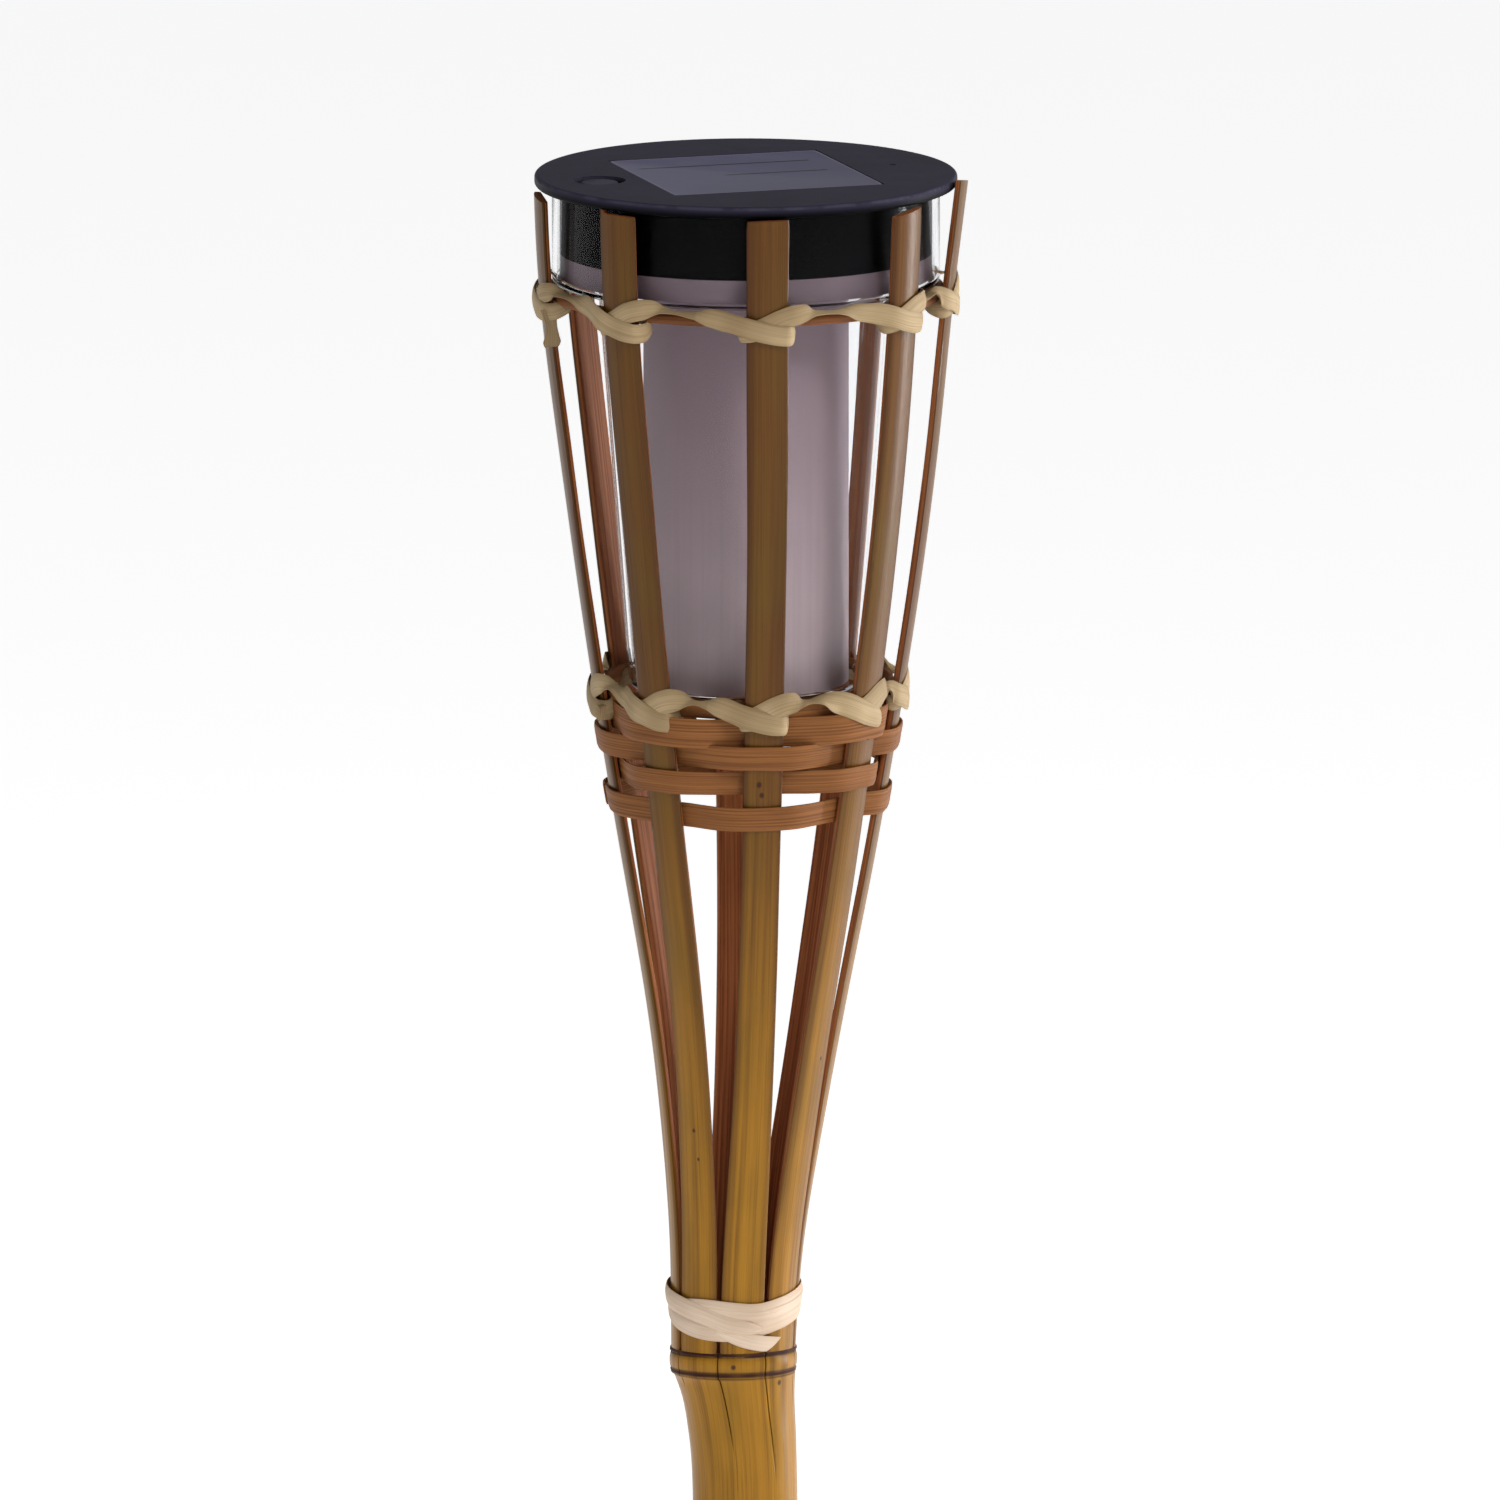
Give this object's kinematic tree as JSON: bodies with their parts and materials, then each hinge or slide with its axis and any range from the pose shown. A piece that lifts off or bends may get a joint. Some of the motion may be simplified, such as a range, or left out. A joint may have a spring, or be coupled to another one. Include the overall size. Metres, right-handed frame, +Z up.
{
  "type": "solar tiki torch",
  "caption": "Bamboo garden torch: a culm split and spread into a lashed, woven basket that holds a clear cup with a frosted sleeve under a black solar cap.",
  "frame": {"origin": "on the pole's axis at the ground line, where the shank enters the ground or a sleeve", "axes": "+Z up along the pole, -Y towards the front of the torch, +X to its right; the long slat that stands past the brim is at +X"},
  "size_m": [0.1107, 0.1094, 0.6],
  "materials": {
    "bamboo": "satin, fine lengthwise grain",
    "cane_hoop": "satin",
    "woven_bamboo": "matt, fine grain along the strip",
    "raffia": "matt, fibrous ribbon",
    "clear_plastic": "clear, glossy",
    "frosted_film": "frosted",
    "black_plastic": "satin moulded",
    "solar_glass": "glossy resin over a dark cell",
    "white_plastic": "matt moulded",
    "steel": "zinc plated",
    "board_green": "solder mask",
    "lamp_resin": "tinted resin",
    "switch_plastic": "matt",
    "battery_sleeve": "printed sleeve, no text",
    "nickel": "nickel plated",
    "lead_insulation": "soft insulation"
  },
  "bodies": {
    "basket": {"bamboo_pole": "bamboo", "slat_1": "bamboo", "slat_2": "bamboo", "slat_3": "bamboo", "slat_4": "bamboo", "slat_5": "bamboo", "slat_6": "bamboo", "slat_7": "bamboo", "slat_8": "bamboo", "upper_hoop": "cane_hoop", "lower_hoop": "woven_bamboo", "woven_strip_1": "woven_bamboo", "woven_strip_2": "woven_bamboo", "woven_strip_3": "woven_bamboo", "woven_strip_4": "woven_bamboo", "upper_lashing": "raffia", "lower_lashing": "raffia", "base_lashing": "raffia"},
    "lantern_cup": {"clear_cup": "clear_plastic", "frosted_sleeve": "frosted_film"},
    "solar_cap": {"cap_shell": "black_plastic", "solar_cell": "solar_glass", "base_plate": "white_plastic", "base_screws": "steel", "circuit_board": "board_green", "board_screws": "steel", "lamp": "lamp_resin", "push_switch": "switch_plastic", "battery": "battery_sleeve", "battery_contact_plus": "nickel", "battery_contact_minus": "nickel", "panel_leads": "lead_insulation", "battery_leads": "lead_insulation"},
    "button": {"power_button": "black_plastic", "switch_plunger": "switch_plastic"}
  },
  "joints": [
    {"name": "cup_lift", "type": "slide", "parent": "basket", "child": "lantern_cup", "axis": [0, 0, 1], "range_m": [0, 0.15]},
    {"name": "cap_lift", "type": "slide", "parent": "lantern_cup", "child": "solar_cap", "axis": [0, 0, 1], "range_m": [0, 0.04]},
    {"name": "button_press", "type": "slide", "parent": "solar_cap", "child": "button", "axis": [0, 0, -1], "range_m": [0, 0.0012], "stiffness_N_per_m": 400, "springref_m": -0.0025}
  ]
}
